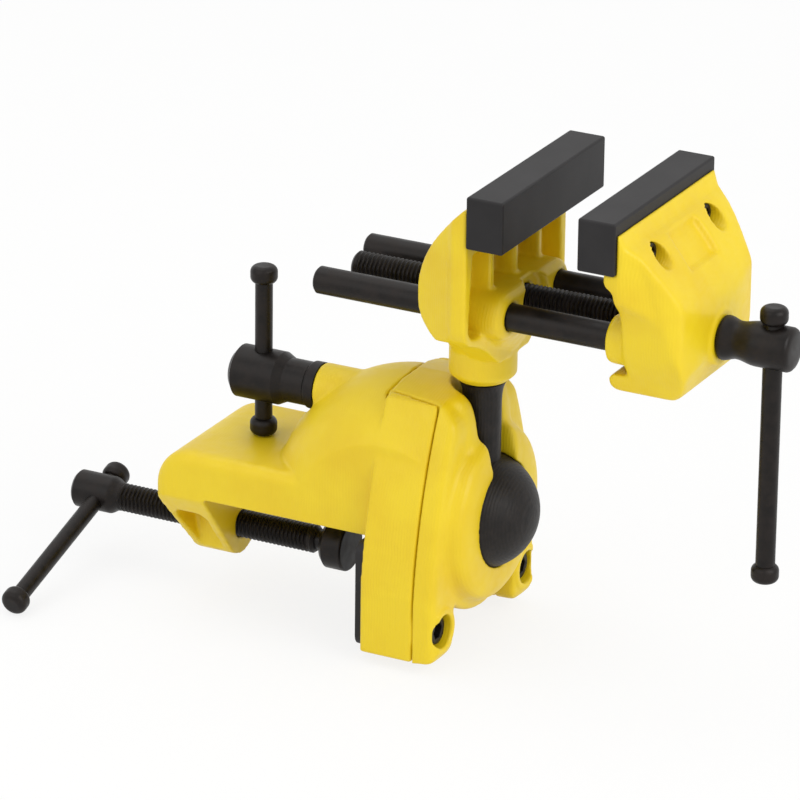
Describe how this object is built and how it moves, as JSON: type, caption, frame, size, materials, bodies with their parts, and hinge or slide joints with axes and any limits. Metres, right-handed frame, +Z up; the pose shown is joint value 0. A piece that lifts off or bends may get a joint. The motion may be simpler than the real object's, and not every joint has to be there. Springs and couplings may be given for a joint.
{
  "type": "clamp-on swivel vise",
  "caption": "Small clamp-on bench vise: two-rod jaw head on a locking ball joint, with a screw clamp for the bench edge.",
  "frame": {"origin": "on the clamp screw's axis, in the face of the bench pad", "axes": "+X from the bench pad towards the jaws' handle, +Y across the jaws, +Z up along the stem"},
  "size_m": [0.2585, 0.0965, 0.1656],
  "materials": {
    "yellow_paint": "gloss",
    "black_steel": "satin",
    "black_rubber": "matte",
    "black_iron": "satin"
  },
  "bodies": {
    "base": {"clamp_frame": "yellow_paint", "ball_cover": "yellow_paint", "clamp_face_pad": "black_rubber", "cover_screws": "black_steel", "lock_washer": "black_steel"},
    "lock": {"lock_screw": "black_steel"},
    "lock_handle": {"lock_bar": "black_steel", "lock_bar_knobs": "black_steel"},
    "foot": {"clamp_foot": "black_iron"},
    "clamp": {"clamp_screw": "black_steel"},
    "clamp_handle": {"clamp_bar": "black_steel", "clamp_bar_knobs": "black_steel"},
    "ball": {"ball_stud": "black_iron"},
    "head": {"fixed_jaw": "yellow_paint", "fixed_jaw_pad": "black_rubber", "fixed_pad_screws": "black_steel"},
    "jaw": {"moving_jaw": "yellow_paint", "moving_jaw_pad": "black_rubber", "moving_pad_screws": "black_steel", "guide_rod_near": "black_steel", "guide_rod_far": "black_steel", "thrust_washer": "black_steel"},
    "screw": {"vise_screw": "black_steel", "retaining_ring": "black_steel"},
    "vise_handle": {"vise_bar": "black_steel", "vise_bar_knobs": "black_steel"}
  },
  "joints": [
    {"name": "lock_turn", "type": "hinge", "parent": "base", "child": "lock", "pos_m": [0, 0, 0.0543], "axis": [1, 0, 0], "range_deg": [-100, 100]},
    {"name": "lock_bar_slide", "type": "slide", "parent": "lock", "child": "lock_handle", "axis": [0, 0, 1], "range_m": [0, 0.0059]},
    {"name": "clamp_travel", "type": "slide", "parent": "base", "child": "foot", "axis": [1, 0, 0], "range_m": [-0.031, 0.0189]},
    {"name": "clamp_turn", "type": "hinge", "parent": "foot", "child": "clamp", "pos_m": [-0.06, 0, 0], "axis": [1, 0, 0], "range_deg": [-7440, 4512]},
    {"name": "clamp_bar_slide", "type": "slide", "parent": "clamp", "child": "clamp_handle", "axis": [0, -0.9548, -0.2974], "range_m": [-0.0477, 0]},
    {"name": "ball_tilt", "type": "hinge", "parent": "base", "child": "ball", "pos_m": [0.0275, 0, 0.023], "axis": [0, 1, 0], "range_deg": [0, 130]},
    {"name": "head_swivel", "type": "hinge", "parent": "ball", "child": "head", "pos_m": [0.0275, 0, 0.07], "axis": [0, 0, 1], "range_deg": [-145, 145]},
    {"name": "jaw_travel", "type": "slide", "parent": "head", "child": "jaw", "axis": [1, 0, 0], "range_m": [-0.0255, 0.0444]},
    {"name": "screw_turn", "type": "hinge", "parent": "jaw", "child": "screw", "pos_m": [0.1, 0, 0.0985], "axis": [1, 0, 0], "range_deg": [-6108, 10644]},
    {"name": "vise_bar_slide", "type": "slide", "parent": "screw", "child": "vise_handle", "axis": [0, 0, 1], "range_m": [0, 0.066]}
  ],
  "couplings": [
    {"joint": "clamp_travel", "follows": "clamp_turn", "m_per_rad": 0.00023873},
    {"joint": "jaw_travel", "follows": "screw_turn", "m_per_rad": 0.00023873}
  ]
}
